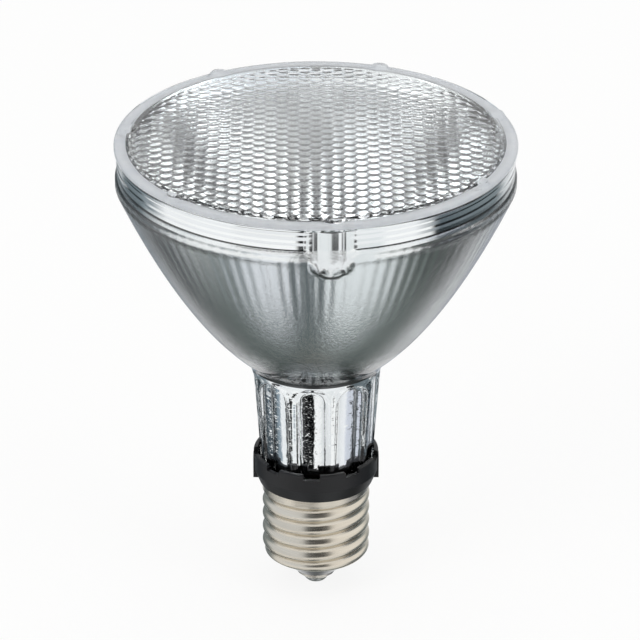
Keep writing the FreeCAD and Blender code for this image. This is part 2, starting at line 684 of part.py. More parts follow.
def upright_hole(body, name, across, radius, bottom, length):
    """Round hole along the axis, left or right of it."""
    place = "placement(vector(%s; 0; %s); rotation(vector(0; 0; 1); 0))" % (across, bottom)
    ring = new_sketch(body, name + "_shape", "XY_Plane", place)
    circle = ring.addGeometry(Part.Circle(V(0, 0, 0), V(0, 0, 1), size(radius)))
    ring.addConstraint(Sketcher.Constraint("Coincident", circle, 3, -1, 1))
    constrain(ring, radius, "Radius", circle)
    return extrude(body, name, ring, length, kind="PartDesign::Pocket", reverse=True)


def slab(body, name, across, width, thickness, bottom, length, kind="PartDesign::Pad", reverse=False):
    """Rectangular block, or pocket, centred front to back, that rises from a height."""
    place = "placement(vector(%s; 0; %s); rotation(vector(0; 0; 1); 0))" % (across, bottom)
    half_width, half_thickness = "(%s) / 2" % width, "(%s) / 2" % thickness
    sketch = new_sketch(body, name + "_shape", "XY_Plane", place)
    signs = [(-1, -1), (1, -1), (1, 1), (-1, 1)]
    points = [V(a * size(half_width), b * size(half_thickness), 0) for a, b in signs]
    for start, end in zip(points, points[1:] + points[:1]):
        sketch.addGeometry(Part.LineSegment(start, end))
    for i, (a, b) in enumerate(signs):
        sketch.addConstraint(Sketcher.Constraint("Coincident", i, 2, (i + 1) % 4, 1))
        constrain(sketch, "%d * %s" % (a, half_width), "DistanceX", -1, 1, i, 1)
        constrain(sketch, "%d * %s" % (b, half_thickness), "DistanceY", -1, 1, i, 1)
    return extrude(body, name, sketch, length, kind=kind, reverse=reverse)


def make_cap_cement():
    body = new_body("cap_cement")
    inner = "spigot_radius + seat_gap"
    outer_low = "shell_crest_radius - thread_depth - shell_sheet - seat_gap"
    outer_high = "shell_crest_radius - shell_sheet - seat_gap"
    section = outline(body, "section", [
        (inner, "cap_cement_bottom"),
        (outer_low, "cap_cement_bottom"),
        (outer_low, "thread_band"),
        (outer_high, "thread_band + thread_depth"),
        (outer_high, "cap_cement_top"),
        (inner, "cap_cement_top"),
    ])
    revolve(body, "ring", section)
    return body


def make_capsule_cement():
    body = new_body("capsule_cement")
    section = outline(body, "section", [
        ("0", CAPSULE_CEMENT_BOTTOM),
        ("neck_bore - seat_gap", CAPSULE_CEMENT_BOTTOM),
        ("neck_bore - seat_gap", "cement_top"),
        ("0", "cement_top"),
    ])
    revolve(body, "plug", section)
    slab(body, "pinch_seat", "0", "pinch_width + 2 * seat_gap", "pinch_thickness + 2 * seat_gap",
         "pinch_bottom - seat_gap", "cement_top - pinch_bottom + 1", kind="PartDesign::Pocket", reverse=True)
    for name, across in (("left_hole", "-lead_offset"), ("right_hole", "lead_offset")):
        upright_hole(body, name, across, "outer_lead_radius + seat_gap",
                     CAPSULE_CEMENT_BOTTOM + " - 1", "pinch_bottom - %s + 2" % CAPSULE_CEMENT_BOTTOM)
    return body


# Quartz capsule with its seal, arc tube and wires

LOWER_END = "(arc_centre - arc_length / 2 - capillary_length)"
UPPER_END = "(arc_centre + arc_length / 2 + capillary_length)"
LEAD_TOP = "(%s + feed_reach + lead_radius)" % UPPER_END
SHORT_LEAD_TOP = "(%s - feed_reach - lead_radius)" % LOWER_END
LEAD_FOOT = "(foil_top - lead_radius)"


def make_quartz_capsule():
    body = new_body("quartz_capsule")
    crown = "(capsule_radius - exhaust_tip_radius)"
    inner_crown = "(capsule_radius - capsule_wall - exhaust_tip_radius)"
    inner_radius = "(capsule_radius - capsule_wall)"
    inner_shoulder = "(capsule_shoulder - capsule_wall)"
    inner_bottom = "(capsule_bottom + capsule_wall)"
    inner_top = "(capsule_top - capsule_wall)"
    section = outline(body, "section", [
        ("0", "capsule_bottom"),
        ("capsule_radius - capsule_shoulder", "capsule_bottom"),
        ("capsule_radius", "capsule_bottom + capsule_shoulder"),
        ("capsule_radius", "capsule_top - " + crown),
        ("exhaust_tip_radius", "capsule_top"),
        ("0", "capsule_top + exhaust_tip_height"),
        ("0", inner_top),
        ("exhaust_tip_radius", inner_top),
        (inner_radius, inner_top + " - " + inner_crown),
        (inner_radius, inner_bottom + " + " + inner_shoulder),
        (inner_radius + " - " + inner_shoulder, inner_bottom),
        ("0", inner_bottom),
    ], rounds={1: "capsule_shoulder", 3: crown}, hollows={7: inner_crown, 9: inner_shoulder})
    revolve(body, "tube", section)
    slab(body, "pinch", "0", "pinch_width", "pinch_thickness", "pinch_bottom",
         "capsule_bottom - pinch_bottom + capsule_wall / 2")
    for side, across in (("left", "-lead_offset"), ("right", "lead_offset")):
        slab(body, side + "_foil_slot", across, "foil_width", "foil_thickness", "foil_bottom",
             "foil_top - foil_bottom", kind="PartDesign::Pocket", reverse=True)
        upright_hole(body, side + "_lead_hole", across, "lead_radius", LEAD_FOOT,
                     "%s - %s + capsule_wall" % (inner_bottom, LEAD_FOOT))
        upright_hole(body, side + "_outer_lead_hole", across, "outer_lead_radius",
                     "pinch_bottom - 1", "foil_bottom - pinch_bottom + 1 + outer_lead_radius")
    return body


def make_arc_tube():
    body = new_body("arc_tube")
    bore = "(feed_radius + seat_gap)"
    low = "(arc_centre - arc_length / 2)"
    high = "(arc_centre + arc_length / 2)"
    section = outline(body, "section", [
        (bore, LOWER_END),
        ("capillary_radius", LOWER_END),
        ("capillary_radius", low),
        ("arc_radius - arc_edge_round", low),
        ("arc_radius", low + " + arc_edge_round"),
        ("arc_radius", high + " - arc_edge_round"),
        ("arc_radius - arc_edge_round", high),
        ("capillary_radius", high),
        ("capillary_radius", UPPER_END),
        (bore, UPPER_END),
        (bore, high + " - arc_wall"),
        ("arc_radius - arc_wall", high + " - arc_wall"),
        ("arc_radius - arc_wall", low + " + arc_wall"),
        (bore, low + " + arc_wall"),
    ], rounds={3: "arc_edge_round", 5: "arc_edge_round"})
    revolve(body, "tube", section)
    return body


def make_feedthrough(name, bottom):
    wire = doc.addObject("Part::Cylinder", name)
    wire.Label = name
    bind(wire, "Radius", "feed_radius")
    bind(wire, "Height", "capillary_length + feed_reach + arc_wall + feed_inner")
    bind(wire, "Placement.Base.z", bottom)
    return wire


def make_foil(name, across):
    foil = doc.addObject("Part::Box", name)
    foil.Label = name
    bind(foil, "Length", "foil_width")
    bind(foil, "Width", "foil_thickness")
    bind(foil, "Height", "foil_top - foil_bottom - lead_radius - outer_lead_radius")
    bind(foil, "Placement.Base.x", across + " - foil_width / 2")
    bind(foil, "Placement.Base.y", "-foil_thickness / 2")
    bind(foil, "Placement.Base.z", "foil_bottom + outer_lead_radius")
    return foil


def make_wire(name, stops, radius, rounds=None, hollows=None):
    """Round wire along an open line in the plane of the pinch; it starts along the axis."""
    body = new_body(name)
    route = outline(body, "route", stops, rounds, hollows, closed=False)
    place = "placement(vector(%s; 0; %s); rotation(vector(0; 0; 1); 0))" % stops[0]
    section = new_sketch(body, "section", "XY_Plane", place)
    circle = section.addGeometry(Part.Circle(V(0, 0, 0), V(0, 0, 1), size(radius)))
    section.addConstraint(Sketcher.Constraint("Coincident", circle, 3, -1, 1))
    constrain(section, radius, "Radius", circle)
    pipe = body.newObject("PartDesign::AdditivePipe", "wire")
    pipe.Profile = section
    pipe.Spine = route
    return body


def make_return_lead():
    return make_wire("return_lead", [
        ("-lead_offset", LEAD_FOOT),
        ("-lead_offset", LEAD_TOP + " - wire_bend"),
        ("-lead_offset + wire_bend", LEAD_TOP),
        ("feed_radius", LEAD_TOP),
    ], "lead_radius", hollows={1: "wire_bend"})


def make_short_lead():
    return make_wire("short_lead", [
        ("lead_offset", LEAD_FOOT),
        ("lead_offset", SHORT_LEAD_TOP + " - wire_bend / 2"),
        ("lead_offset - wire_bend / 2", SHORT_LEAD_TOP),
        ("-feed_radius", SHORT_LEAD_TOP),
    ], "lead_radius", rounds={1: "wire_bend / 2"})


def make_shell_lead():
    return make_wire("shell_lead", [
        ("-lead_offset", "foil_bottom + outer_lead_radius"),
        ("-lead_offset", "shell_lead_height + wire_bend"),
        ("-lead_offset - wire_bend", "shell_lead_height"),
        ("-(shell_crest_radius - thread_depth - shell_sheet - seat_gap)", "shell_lead_height"),
    ], "outer_lead_radius", hollows={1: "wire_bend"})


def make_contact_lead():
    drop = "(contact_lead_bend_top - contact_lead_bend_bottom)"
    middle = "(contact_lead_bend_top + contact_lead_bend_bottom) / 2"
    curve = "((%s / 2)^2 + (lead_offset / 2)^2) / lead_offset" % drop
    return make_wire("contact_lead", [
        ("lead_offset", "foil_bottom + outer_lead_radius"),
        ("lead_offset", "contact_lead_bend_top"),
        ("lead_offset / 2", middle),
        ("0", "contact_lead_bend_bottom"),
        ("0", CONTACT_BOTTOM),
    ], "outer_lead_radius", hollows={1: curve}, rounds={2: curve})


def make_getter_strip():
    strip = doc.addObject("Part::Box", "getter_strip")
    strip.Label = "getter_strip"
    bind(strip, "Length", "getter_thickness")
    bind(strip, "Width", "getter_width")
    bind(strip, "Height", "getter_length")
    bind(strip, "Placement.Base.x", "-lead_offset - lead_radius - getter_thickness")
    bind(strip, "Placement.Base.y", "-getter_width / 2")
    bind(strip, "Placement.Base.z", "getter_bottom")
    return strip


# The whole lamp

sub_parts = [
    make_contact_solder(),
    make_centre_contact(),
    make_base_insulator(),
    make_screw_shell(),
    make_cap_cement(),
    make_insulating_collar(),
    make_reflector(),
    make_lens_seal(),
    make_front_lens(),
    make_capsule_cement(),
    make_quartz_capsule(),
    make_arc_tube(),
    make_feedthrough("upper_feedthrough", "%s - capillary_length - arc_wall - feed_inner" % UPPER_END),
    make_feedthrough("lower_feedthrough", "%s - feed_reach" % LOWER_END),
    make_foil("left_foil", "-lead_offset"),
    make_foil("right_foil", "lead_offset"),
    make_return_lead(),
    make_short_lead(),
    make_shell_lead(),
    make_contact_lead(),
    make_getter_strip(),
]
doc.recompute()

failed = [item.Name for item in doc.Objects if {"Invalid", "Error"} & set(item.State)]
if failed:
    raise SystemExit("not built: " + ", ".join(failed))
for part in sub_parts:
    if part.Shape.isNull() or not part.Shape.isValid():
        raise SystemExit("bad shape: " + part.Label)

os.makedirs("parts", exist_ok=True)
for part in sub_parts:
    part.Shape.exportStep("parts/%s.step" % part.Label)
    print("%-20s solids %d, volume %.1f mm3" % (part.Label, len(part.Shape.Solids), part.Shape.Volume))
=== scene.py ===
import math

import bpy
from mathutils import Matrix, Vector


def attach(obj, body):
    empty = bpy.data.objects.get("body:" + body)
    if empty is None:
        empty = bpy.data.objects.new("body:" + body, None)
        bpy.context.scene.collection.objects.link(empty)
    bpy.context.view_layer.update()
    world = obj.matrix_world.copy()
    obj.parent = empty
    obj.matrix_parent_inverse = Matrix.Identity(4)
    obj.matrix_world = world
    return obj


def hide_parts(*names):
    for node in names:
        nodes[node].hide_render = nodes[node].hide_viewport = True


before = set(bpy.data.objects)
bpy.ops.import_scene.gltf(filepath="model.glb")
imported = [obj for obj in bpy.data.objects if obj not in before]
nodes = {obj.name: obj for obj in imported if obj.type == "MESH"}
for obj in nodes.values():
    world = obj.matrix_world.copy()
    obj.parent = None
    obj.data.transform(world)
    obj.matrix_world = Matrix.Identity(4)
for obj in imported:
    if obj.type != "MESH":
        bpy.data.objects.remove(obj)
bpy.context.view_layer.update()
mm = 0.001
print("frame loaded:", len(nodes), "nodes")


def heights(name):  # lowest and highest point of a CAD piece, in mm
    ups = [corner[2] / mm for corner in nodes[name].bound_box]
    return round(min(ups), 3), round(max(ups), 3)


spigotBottom, rimTop = heights("reflector")
shellLip, shellTop = heights("screw_shell")

softStep = {"interpolation_type": "SMOOTHSTEP"}
colourMix = {"data_type": "RGBA"}
times = {"operation": "MULTIPLY"}


def linear(hexColour, alpha=1.0):  # sRGB hex to the linear values that a shader takes
    channels = [int(hexColour[i:i + 2], 16) / 255 for i in (1, 3, 5)]
    return [c / 12.92 if c <= 0.04045 else ((c + 0.055) / 1.055) ** 2.4 for c in channels] + [alpha]


# a link names a socket, or a node whose first output is meant
def addNode(tree, kind, settings=None, values=None, links=None):
    node = tree.nodes.new(kind)
    for name, value in (settings or {}).items():
        setattr(node, name, value)
    for name, value in (values or {}).items():
        node.inputs[name].default_value = value
    for name, source in (links or {}).items():
        socket = source.outputs[0] if isinstance(source, bpy.types.Node) else source
        tree.links.new(socket, node.inputs[name])
    return node


def newMaterial(name, colour, **sockets):
    material = bpy.data.materials.new(name)
    material.use_nodes = True
    shader = material.node_tree.nodes["Principled BSDF"]
    shader.inputs["Base Color"].default_value = linear(colour)
    for socket, value in sockets.items():
        shader.inputs[socket.replace("_", " ")].default_value = value
    return material, material.node_tree, shader


def dress(piece, *materials):
    piece.data.materials.clear()
    for material in materials:
        piece.data.materials.append(material)


def grained(made, grain, tones, gloss=None, relief=0.0, stretch=(1, 1, 1)):  # grain and relief in mm
    material, tree, shader = made
    place = addNode(tree, "ShaderNodeTexCoord")
    along = addNode(tree, "ShaderNodeMapping", values={"Scale": stretch},
                    links={"Vector": place.outputs["Object"]})
    noise = addNode(tree, "ShaderNodeTexNoise", values={"Scale": 1 / (grain * mm), "Detail": 3.0},
                    links={"Vector": along})
    tone = addNode(tree, "ShaderNodeMix", colourMix, {6: linear(tones[0]), 7: linear(tones[1])}, {0: noise})
    tree.links.new(tone.outputs[2], shader.inputs["Base Color"])
    if gloss:
        rough = addNode(tree, "ShaderNodeMapRange", values={"To Min": gloss[0], "To Max": gloss[1]},
                        links={"Value": noise})
        tree.links.new(rough.outputs[0], shader.inputs["Roughness"])
    if relief:
        bump = addNode(tree, "ShaderNodeBump", values={"Distance": relief * mm}, links={"Height": noise})
        tree.links.new(bump.outputs[0], shader.inputs["Normal"])
    return material


def smoothStep(low, high, x):
    t = min(1, max(0, (x - low) / (high - low)))
    return t * t * (3 - 2 * t)


def arcPoints(centre, radius, start, end, count):  # points along an arc, angles in degrees
    points = []
    for i in range(count):
        angle = math.radians(start + (end - start) * i / (count - 1))
        points.append((centre[0] + radius * math.cos(angle), centre[1] + radius * math.sin(angle)))
    return points


def steps(start, end, size):  # points along a straight run, without its end
    count = max(1, round(math.dist(start, end) / size))
    return [(start[0] + (end[0] - start[0]) * i / count, start[1] + (end[1] - start[1]) * i / count)
            for i in range(count)]


def turned(name, section, segments, closed=True):  # a section (radius, height in mm) spun round the axis
    bpy.ops.object.select_all(action="DESELECT")
    bpy.ops.mesh.primitive_circle_add(vertices=len(section), radius=1)
    piece = bpy.context.active_object
    piece.name = piece.data.name = name
    for vertex, (across, up) in zip(piece.data.vertices, section):
        vertex.co = (across * mm, 0, up * mm)
    if not closed:
        ends = {0, len(section) - 1}
        for edge in piece.data.edges:
            edge.select = set(edge.vertices) == ends
        for vertex in piece.data.vertices:
            vertex.select = vertex.index in ends
    bpy.ops.object.mode_set(mode="EDIT")
    if not closed:
        bpy.ops.mesh.delete(type="EDGE")
    bpy.ops.mesh.select_all(action="SELECT")
    bpy.ops.mesh.spin(steps=segments, angle=2 * math.pi, center=(0, 0, 0), axis=(0, 0, 1))
    bpy.ops.mesh.select_all(action="SELECT")
    bpy.ops.mesh.remove_doubles(threshold=0.002 * mm)
    bpy.ops.mesh.normals_make_consistent(inside=False)
    bpy.ops.object.mode_set(mode="OBJECT")
    return piece


def smoothed(piece, degrees):
    bpy.ops.object.select_all(action="DESELECT")
    piece.select_set(True)
    bpy.context.view_layer.objects.active = piece
    bpy.ops.object.shade_smooth_by_angle(angle=math.radians(degrees))


glassBody = {  # radii from the axis and heights above the contact tip, in mm
    "segments": 396,
    "spigotBottom": spigotBottom, "spigotBore": 8.4, "spigotRadius": 11.2, "hiddenRow": 1.5, "spigotRow": 4,
    "neckBottom": shellTop + 1.6, "neckBottomRadius": 13.9, "neckEdge": 0.3, "neckRow": 0.42,
    "neckTop": shellTop + 27.5, "neckTopRadius": 15.7,
    "neckBore": 11.6, "boreDraft": 0.047, "neckFloorTop": shellTop + 3.2,
    "throatRadius": 17.8, "throatRound": 5.8, "throatPoints": 14,
    "bowlApex": 55.3, "bowlFocus": 10.8, "bowlRadius": 47.75, "bowlRows": 52, "bowlTopRow": 0.4,
    "mirrorApex": 58.9, "mirrorFocus": 10.2, "mirrorRows": 44,
    "beadBottom": rimTop - 7.2, "beadHeight": 0.9, "beadBulge": 0.1, "beadRows": 8,
    "rimBore": 44.9, "rimRadius": 47.3, "rimTop": rimTop, "rimRow": 0.3, "rimRows": 20, "rimEdge": 0.4,
    "rimInnerEdge": 0.15, "rimLine": rimTop - 3.1, "rimLineDepth": 0.1, "rimDraft": -0.035,
    "skinAtRim": 1.0, "skinAtBore": 0.6, "boreTop": 70,
    "flutes": 9, "fluteAngle": -4.0, "fluteHalf": 4.1, "fluteTop": 58.9, "fluteFloorTop": 14.35,
    "fluteFloorBottom": 13.0, "fluteEdge": 0.55,
    "lugs": 3, "lugAngle": 4.5, "lugHalf": 5.8, "lugBottom": rimTop - 11.8, "lugReach": 48.4,
    "lugRound": 6.5, "lugStep": 0.4, "lugEdges": (-0.2, 0.7), "pocketEdges": (-0.3, 0.4),
    # the dark-reflection heights bound the ring of film that is painted dark as a reflection
    "filmTop": 117.0, "filmBottom": 34.0, "darkReflectionBottom": 59.6, "darkReflectionTop": 65.6,
}


def onParaboloid(radius, focus, apex):
    return apex + radius ** 2 / (4 * focus)


def boreRadius(height):
    return glassBody["neckBore"] + glassBody["boreDraft"] * max(0, height - glassBody["neckFloorTop"])


def glassSection():  # up the outside from the spigot to the rim, and down the inside again
    g = glassBody
    throatHeight = onParaboloid(g["throatRadius"], g["bowlFocus"], g["bowlApex"])
    start = Vector((g["neckTopRadius"], g["neckTop"]))
    end = Vector((g["throatRadius"], throatHeight))
    chord = end - start
    side = Vector((chord.y, -chord.x)).normalized()
    centre = (start + end) / 2 + side * math.sqrt(g["throatRound"] ** 2 - (chord.length / 2) ** 2)
    angles = [math.degrees(math.atan2(p.y - centre.y, p.x - centre.x)) % 360 for p in (start, end)]
    edge = g["neckEdge"]
    outer = steps((g["spigotBore"], g["spigotBottom"]), (g["spigotRadius"], g["spigotBottom"]),
                  g["hiddenRow"])
    outer += steps((g["spigotRadius"], g["spigotBottom"]), (g["spigotRadius"], g["neckBottom"]),
                   g["spigotRow"])
    outer += steps((g["spigotRadius"], g["neckBottom"]), (g["neckBottomRadius"] - edge, g["neckBottom"]),
                   g["hiddenRow"])
    outer += arcPoints((g["neckBottomRadius"] - edge, g["neckBottom"] + edge), edge, -90, 0, 4)
    outer += steps((g["neckBottomRadius"], g["neckBottom"] + 2 * edge), (g["neckTopRadius"], g["neckTop"]),
                   g["neckRow"])
    outer += arcPoints(centre, g["throatRound"], angles[0], angles[1], g["throatPoints"])
    heightEnd = onParaboloid(g["bowlRadius"], g["bowlFocus"], g["bowlApex"])
    for i in range(1, g["bowlRows"] + 1):
        height = throatHeight + (heightEnd - throatHeight) * i / g["bowlRows"]
        outer.append((math.sqrt((height - g["bowlApex"]) * 4 * g["bowlFocus"]), height))
    outer += steps((g["bowlRadius"], heightEnd + g["bowlTopRow"]), (g["bowlRadius"], g["beadBottom"]),
                   g["bowlTopRow"])
    for i in range(g["beadRows"] + 1):
        share = i / g["beadRows"]
        radius = g["bowlRadius"] + (g["rimRadius"] - g["bowlRadius"]) * share
        outer.append((radius + g["beadBulge"] * math.sin(math.pi * share),
                      g["beadBottom"] + g["beadHeight"] * share))
    for i in range(g["rimRows"]):
        height = i * g["rimRow"] + g["beadBottom"] + g["beadHeight"] + g["rimRow"]
        if height < g["rimTop"] - g["rimEdge"]:
            ridge = max(0, 1 - abs(height - g["rimLine"]) / g["rimRow"])
            draft = g["rimDraft"] * max(0, height - g["rimLine"])
            outer.append((g["rimRadius"] + g["rimLineDepth"] * ridge - draft, height))
    top = g["rimRadius"] - g["rimDraft"] * (g["rimTop"] - g["rimLine"])
    outer += arcPoints((top - g["rimEdge"], g["rimTop"] - g["rimEdge"]), g["rimEdge"], 0, 90, 5)
    edge = g["rimInnerEdge"]
    inner = [(g["rimBore"] + edge, g["rimTop"]), (g["rimBore"], g["rimTop"] - edge)]
    mouth = onParaboloid(g["rimBore"], g["mirrorFocus"], g["mirrorApex"])
    bottom = onParaboloid(boreRadius(g["mirrorApex"] + 4), g["mirrorFocus"], g["mirrorApex"])
    inner += steps((g["rimBore"], g["rimTop"] - g["hiddenRow"]), (g["rimBore"], mouth), g["hiddenRow"])
    for i in range(g["mirrorRows"] + 1):
        height = mouth + (bottom - mouth) * i / g["mirrorRows"]
        inner.append((math.sqrt((height - g["mirrorApex"]) * 4 * g["mirrorFocus"]), height))
    below = bottom - g["hiddenRow"]
    inner += steps((boreRadius(below), below), (g["neckBore"], g["neckFloorTop"]), g["hiddenRow"])
    inner += steps((g["neckBore"], g["neckFloorTop"]), (g["spigotBore"], g["neckFloorTop"]), g["hiddenRow"])
    inner += steps((g["spigotBore"], g["neckFloorTop"]), (g["spigotBore"], g["spigotBottom"]),
                   g["spigotRow"])
    return outer + inner


def inwardLimit(height):  # radius half way through the glass, which parts the outer skin from the film
    g = glassBody
    inside = math.sqrt(max(0, height - g["mirrorApex"]) * 4 * g["mirrorFocus"])
    outside = math.sqrt(max(0, height - g["bowlApex"]) * 4 * g["bowlFocus"])
    limit = min((inside + outside) / 2, g["rimBore"] + g["skinAtRim"])
    if height < g["boreTop"]:
        limit = max(limit, boreRadius(height) + g["skinAtBore"])
    return limit


def fromNearest(angle, first, count):  # degrees to the nearest of several places round the axis
    pitch = 360 / count
    return (angle - first + pitch / 2) % pitch - pitch / 2


def insideArch(half, across, above):  # depth inside an upright band with a round end, in mm
    return half - (math.hypot(across, above) if above > 0 else abs(across))


def pressGlass(piece):  # flutes round the neck, lugs on the rim and the pockets behind them
    g = glassBody
    mouth = onParaboloid(g["rimBore"], g["mirrorFocus"], g["mirrorApex"])
    for vertex in piece.data.vertices:
        radius, height = math.hypot(vertex.co.x, vertex.co.y) / mm, vertex.co.z / mm
        fromFront = math.degrees(math.atan2(vertex.co.x, -vertex.co.y))
        moved, inner = radius, radius < inwardLimit(height)
        if not inner and g["neckBottom"] - 0.1 < height < g["fluteTop"] + 1:
            off = math.radians(fromNearest(fromFront, g["fluteAngle"], g["flutes"]))
            share = (height - g["neckBottom"]) / (g["fluteTop"] - g["neckBottom"])
            floor = g["fluteFloorBottom"] + (g["fluteFloorTop"] - g["fluteFloorBottom"]) * share
            aboveArch = height - (g["fluteTop"] - g["fluteHalf"])
            inside = insideArch(g["fluteHalf"], floor * math.tan(off), aboveArch)
            cut = smoothStep(-g["fluteEdge"], g["fluteEdge"], inside)
            moved = radius + (min(radius, floor / math.cos(off)) - radius) * cut
        if g["lugBottom"] - 1 < height < g["rimTop"] - 0.1:
            across = radius * math.sin(math.radians(fromNearest(fromFront, g["lugAngle"], g["lugs"])))
            inside = insideArch(g["lugHalf"], across, g["lugBottom"] + g["lugHalf"] - height)
            if inner and height < mouth:  # the pocket behind the lug
                moved = radius + (g["rimBore"] - radius) * smoothStep(*g["pocketEdges"], inside)
            elif not inner:
                boss = max(g["rimRadius"] + g["lugStep"], g["lugReach"] - across ** 2 / (2 * g["lugRound"]))
                moved = radius + (max(radius, boss) - radius) * smoothStep(*g["lugEdges"], inside)
        vertex.co.x *= moved / radius
        vertex.co.y *= moved / radius


glassReflector = turned("glassReflector", glassSection(), glassBody["segments"])
pressGlass(glassReflector)
smoothed(glassReflector, 40)
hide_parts("reflector")
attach(glassReflector, "root")


# 1 between two heights in mm, fading out below and above them
def heightZone(tree, height, empty, full, fullTo, emptyFrom):
    edges = [addNode(tree, "ShaderNodeMapRange", softStep, {"From Min": off * mm, "From Max": on * mm},
                     {"Value": height}) for off, on in ((empty, full), (emptyFrom, fullTo))]
    return addNode(tree, "ShaderNodeMath", times, links={0: edges[0], 1: edges[1]})


glassLook = {  # satin: its heights, roughness and relief; grains in mm
    "satinHeights": (69.0, 69.6, 110.0, 110.4), "satin": 0.23, "polish": 0.015, "relief": 0.06,
    "grain": 0.55, "speckle": 0.65, "speckleShare": (0.42, 0.66), "speckleHeights": (108, 68),
    "clear": "#fbfdfd", "greyed": "#d3dada",
}

pressedGlass, tree, shader = newMaterial("pressed borosilicate glass", "#f6fafa", IOR=1.47,
                                         Transmission_Weight=1.0)
# the mould's sand-blasted bowl leaves a satin skin with a fine grain; rim and neck come out polished
place = addNode(tree, "ShaderNodeTexCoord")
apart = addNode(tree, "ShaderNodeSeparateXYZ", links={"Vector": place.outputs["Object"]})
satinArea = heightZone(tree, apart.outputs["Z"], *glassLook["satinHeights"])
roughness = addNode(tree, "ShaderNodeMapRange", links={"Value": satinArea}, values={
    "To Min": glassLook["polish"], "To Max": glassLook["satin"]})
tree.links.new(roughness.outputs["Result"], shader.inputs["Roughness"])
grain = addNode(tree, "ShaderNodeTexNoise", values={"Scale": 1 / (glassLook["grain"] * mm), "Detail": 3.0},
                links={"Vector": place.outputs["Object"]})
bump = addNode(tree, "ShaderNodeBump", values={"Distance": glassLook["relief"] * mm},
               links={"Height": grain, "Strength": satinArea})
tree.links.new(bump.outputs["Normal"], shader.inputs["Normal"])
speckle = addNode(tree, "ShaderNodeTexNoise", links={"Vector": place.outputs["Object"]}, values={
    "Scale": 1 / (glassLook["speckle"] * mm), "Detail": 2.0})
speckle = addNode(tree, "ShaderNodeMapRange", softStep, {
    "From Min": glassLook["speckleShare"][0], "From Max": glassLook["speckleShare"][1]}, {"Value": speckle})
lower = addNode(tree, "ShaderNodeMapRange", softStep, {
    "From Min": glassLook["speckleHeights"][0] * mm, "From Max": glassLook["speckleHeights"][1] * mm},
    {"Value": apart.outputs["Z"]})
for area in (lower, satinArea):
    speckle = addNode(tree, "ShaderNodeMath", times, links={0: speckle, 1: area})
tint = addNode(tree, "ShaderNodeMix", colourMix, {
    6: linear(glassLook["clear"]), 7: linear(glassLook["greyed"])}, {0: speckle})
tree.links.new(tint.outputs[2], shader.inputs["Base Color"])

filmLook = {  # relief, ripple and sand in mm; heights where each begins, is full and ends
    "relief": 0.06, "flutes": 100, "fluteHeights": (83, 103, 107.5, 109), "fluteShare": 0.22,
    "ripple": 2.2, "rippleHeights": (64, 58),
    "sand": 0.5, "sandHeights": (63, 64, 84, 108), "sandShare": 0.45,
}

aluminiumFilm, tree, shader = newMaterial("vapour-deposited aluminium", "#fafbfb", Metallic=1.0,
                                          Roughness=0.03)
# the film lies on narrow upright flutes under the rim, and on the neck's unpolished bore, which
# frays reflections
place = addNode(tree, "ShaderNodeTexCoord")
apart = addNode(tree, "ShaderNodeSeparateXYZ", links={"Vector": place.outputs["Object"]})
turn = addNode(tree, "ShaderNodeMath", {"operation": "ARCTAN2"},
               links={0: apart.outputs["X"], 1: apart.outputs["Y"]})
wave = addNode(tree, "ShaderNodeMath", times, {1: float(filmLook["flutes"])}, {0: turn})
flutes = addNode(tree, "ShaderNodeMath", {"operation": "SINE"}, links={0: wave})
underRim = heightZone(tree, apart.outputs["Z"], *filmLook["fluteHeights"])
flutes = addNode(tree, "ShaderNodeMath", times, links={0: flutes, 1: underRim})
ripples = addNode(tree, "ShaderNodeTexNoise", values={
    "Scale": 1 / (filmLook["ripple"] * mm), "Detail": 3.0, "Roughness": 0.55},
    links={"Vector": place.outputs["Object"]})
inNeck = addNode(tree, "ShaderNodeMapRange", softStep, {
    "From Min": filmLook["rippleHeights"][0] * mm, "From Max": filmLook["rippleHeights"][1] * mm},
    {"Value": apart.outputs["Z"]})
ripples = addNode(tree, "ShaderNodeMath", times, links={0: ripples, 1: inNeck})
sand = addNode(tree, "ShaderNodeTexNoise", values={"Scale": 1 / (filmLook["sand"] * mm), "Detail": 1.0},
               links={"Vector": place.outputs["Object"]})
onBowl = heightZone(tree, apart.outputs["Z"], *filmLook["sandHeights"])
sand = addNode(tree, "ShaderNodeMath", times, links={0: sand, 1: onBowl})
sand = addNode(tree, "ShaderNodeMath", times, {1: filmLook["sandShare"]}, {0: sand})
relief = addNode(tree, "ShaderNodeMath", {"operation": "MULTIPLY_ADD"}, {1: filmLook["fluteShare"]},
                 {0: flutes, 2: ripples})
relief = addNode(tree, "ShaderNodeMath", {"operation": "ADD"}, links={0: relief, 1: sand})
bump = addNode(tree, "ShaderNodeBump", values={"Distance": filmLook["relief"] * mm},
               links={"Height": relief})
tree.links.new(bump.outputs["Normal"], shader.inputs["Normal"])

# painted reflection: the film in the corner above the neck is painted near-black, a dark ring under the bowl
# that stands in for the dark surroundings mirrored by this concave fillet
paintedReflectionFilm = grained(newMaterial("film painted dark as a reflection", "#0c0d0e", Roughness=0.3), 0.8,
                    ("#060707", "#1c1e20"))

dress(glassReflector, pressedGlass, aluminiumFilm, paintedReflectionFilm)
for face in glassReflector.data.polygons:
    radius, height = math.hypot(face.center.x, face.center.y) / mm, face.center.z / mm
    if radius < inwardLimit(height) and glassBody["filmBottom"] < height < glassBody["filmTop"]:
        # faces between the dark-reflection heights get the film painted near-black as a reflection
        face.material_index = 2 if glassBody["darkReflectionBottom"] < height < glassBody["darkReflectionTop"] else 1
print("glass reflector pressed:", len(glassReflector.data.polygons), "faces")


